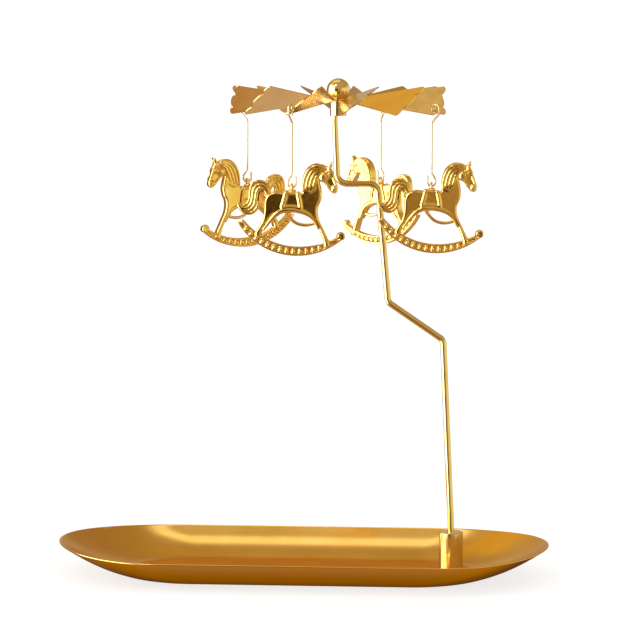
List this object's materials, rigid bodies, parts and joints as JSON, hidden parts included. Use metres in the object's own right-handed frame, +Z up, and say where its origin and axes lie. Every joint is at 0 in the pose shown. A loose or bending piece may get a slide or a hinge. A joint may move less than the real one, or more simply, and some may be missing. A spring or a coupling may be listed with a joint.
{
  "type": "candle carousel",
  "caption": "Oval gilt tray with a bent rod; on its needle a bladed fan turns in warm air, hung with rocking horse pendants on wire hooks.",
  "frame": {"origin": "centre of the tray's flat underside, on the surface it stands on", "axes": "+X along the tray towards the end with the rod's socket, +Y towards the back, +Z up"},
  "size_m": [0.23, 0.1139, 0.2321],
  "materials": {
    "tray_gold": "satin polished gold plate",
    "socket_brass": "turned and polished brass",
    "screw_steel": "zinc plated",
    "rod_gold": "polished gold plated wire",
    "ball_brass": "mirror polished brass",
    "fan_gold": "polished stamped sheet, gold plated",
    "wire_gold": "pale gold plated wire",
    "horse_gold": "mirror polished gold plated casting"
  },
  "bodies": {
    "base": {"tray": "tray_gold", "rod_socket": "socket_brass", "base_screw": "screw_steel"},
    "rod": {"rod": "rod_gold"},
    "carousel": {"pivot_ball": "ball_brass", "pivot_sleeve": "ball_brass", "fan": "fan_gold"},
    "hook_1": {"hook_1": "wire_gold"},
    "horse_1": {"horse_1": "horse_gold"},
    "hook_2": {"hook_2": "wire_gold"},
    "horse_2": {"horse_2": "horse_gold"},
    "hook_3": {"hook_3": "wire_gold"},
    "horse_3": {"horse_3": "horse_gold"},
    "hook_4": {"hook_4": "wire_gold"},
    "horse_4": {"horse_4": "horse_gold"}
  },
  "joints": [
    {"name": "rod_swivel", "type": "hinge", "parent": "base", "child": "rod", "pos_m": [0.0693, 0, 0.0098], "axis": [0, 0, 1], "continuous": true},
    {"name": "carousel_spin", "type": "hinge", "parent": "rod", "child": "carousel", "pos_m": [0.0154, 0, 0.2265], "axis": [0, 0, 1], "continuous": true},
    {"name": "hook_1_swing", "type": "hinge", "parent": "carousel", "child": "hook_1", "pos_m": [0.0591, -0.01837, 0.21762], "axis": [-0.3875, -0.9219, 0], "range_deg": [-2, 25]},
    {"name": "horse_1_sway", "type": "hinge", "parent": "hook_1", "child": "horse_1", "pos_m": [0.0591, -0.01837, 0.1833], "axis": [-1, 0, 0], "range_deg": [-8, 8]},
    {"name": "hook_2_swing", "type": "hinge", "parent": "carousel", "child": "hook_2", "pos_m": [0.03377, 0.0437, 0.21762], "axis": [0.9219, -0.3875, 0], "range_deg": [-2, 25]},
    {"name": "horse_2_sway", "type": "hinge", "parent": "hook_2", "child": "horse_2", "pos_m": [0.03377, 0.0437, 0.1833], "axis": [-0.766, 0.6428, 0], "range_deg": [-8, 8]},
    {"name": "hook_3_swing", "type": "hinge", "parent": "carousel", "child": "hook_3", "pos_m": [-0.0283, 0.01837, 0.21762], "axis": [0.3875, 0.9219, 0], "range_deg": [-2, 25]},
    {"name": "horse_3_sway", "type": "hinge", "parent": "hook_3", "child": "horse_3", "pos_m": [-0.0283, 0.01837, 0.1833], "axis": [0.9903, 0.1392, 0], "range_deg": [-8, 8]},
    {"name": "hook_4_swing", "type": "hinge", "parent": "carousel", "child": "hook_4", "pos_m": [-0.00297, -0.0437, 0.21762], "axis": [-0.9219, 0.3875, 0], "range_deg": [-2, 25]},
    {"name": "horse_4_sway", "type": "hinge", "parent": "hook_4", "child": "horse_4", "pos_m": [-0.00297, -0.0437, 0.1833], "axis": [0.9397, 0.342, 0], "range_deg": [-8, 8]}
  ]
}
